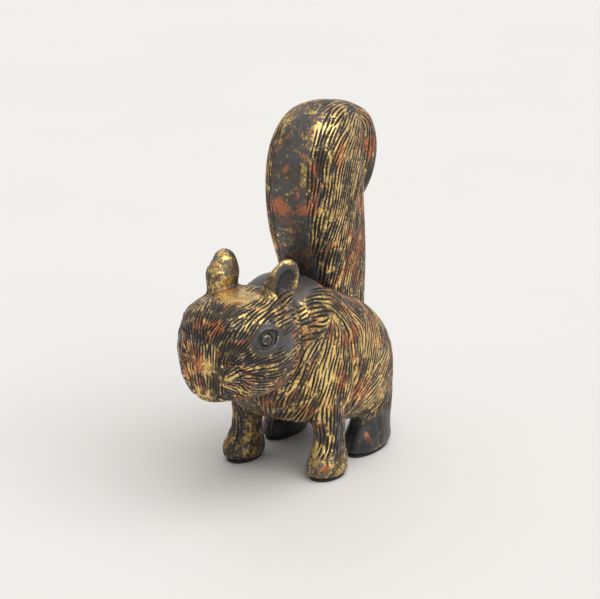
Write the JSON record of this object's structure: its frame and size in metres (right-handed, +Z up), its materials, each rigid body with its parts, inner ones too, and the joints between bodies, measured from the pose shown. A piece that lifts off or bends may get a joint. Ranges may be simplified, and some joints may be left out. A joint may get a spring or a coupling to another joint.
{
  "type": "squirrel nutcracker",
  "caption": "Standing squirrel figure of cast metal that cracks nuts: a nut well lies open in its back and the hinged bushy tail is the lever and jaw.",
  "frame": {"origin": "on the table, under the middle of the figure's length, width and height box", "axes": "+X to the nose, +Y to the animal's left, +Z up"},
  "size_m": [0.168, 0.0786, 0.204],
  "materials": {
    "cast_metal": "cast, with a dark antique patina rubbed back to brass and copper tones",
    "steel": "ground",
    "dark_steel": "blackened",
    "washer_brass": "plain",
    "pad_rubber": "matt black"
  },
  "bodies": {
    "body": {"body_casting": "cast_metal", "hinge_pin": "steel", "pin_plug_screw": "dark_steel", "washer_left": "washer_brass", "washer_right": "washer_brass", "pad_front_left": "pad_rubber", "pad_front_right": "pad_rubber", "pad_rear_left": "pad_rubber", "pad_rear_right": "pad_rubber"},
    "tail": {"tail_lever": "cast_metal"}
  },
  "joints": [
    {"name": "tail_hinge", "type": "hinge", "parent": "body", "child": "tail", "pos_m": [-0.057, 0, 0.042], "axis": [0, -1, 0], "range_deg": [0, 42]}
  ]
}
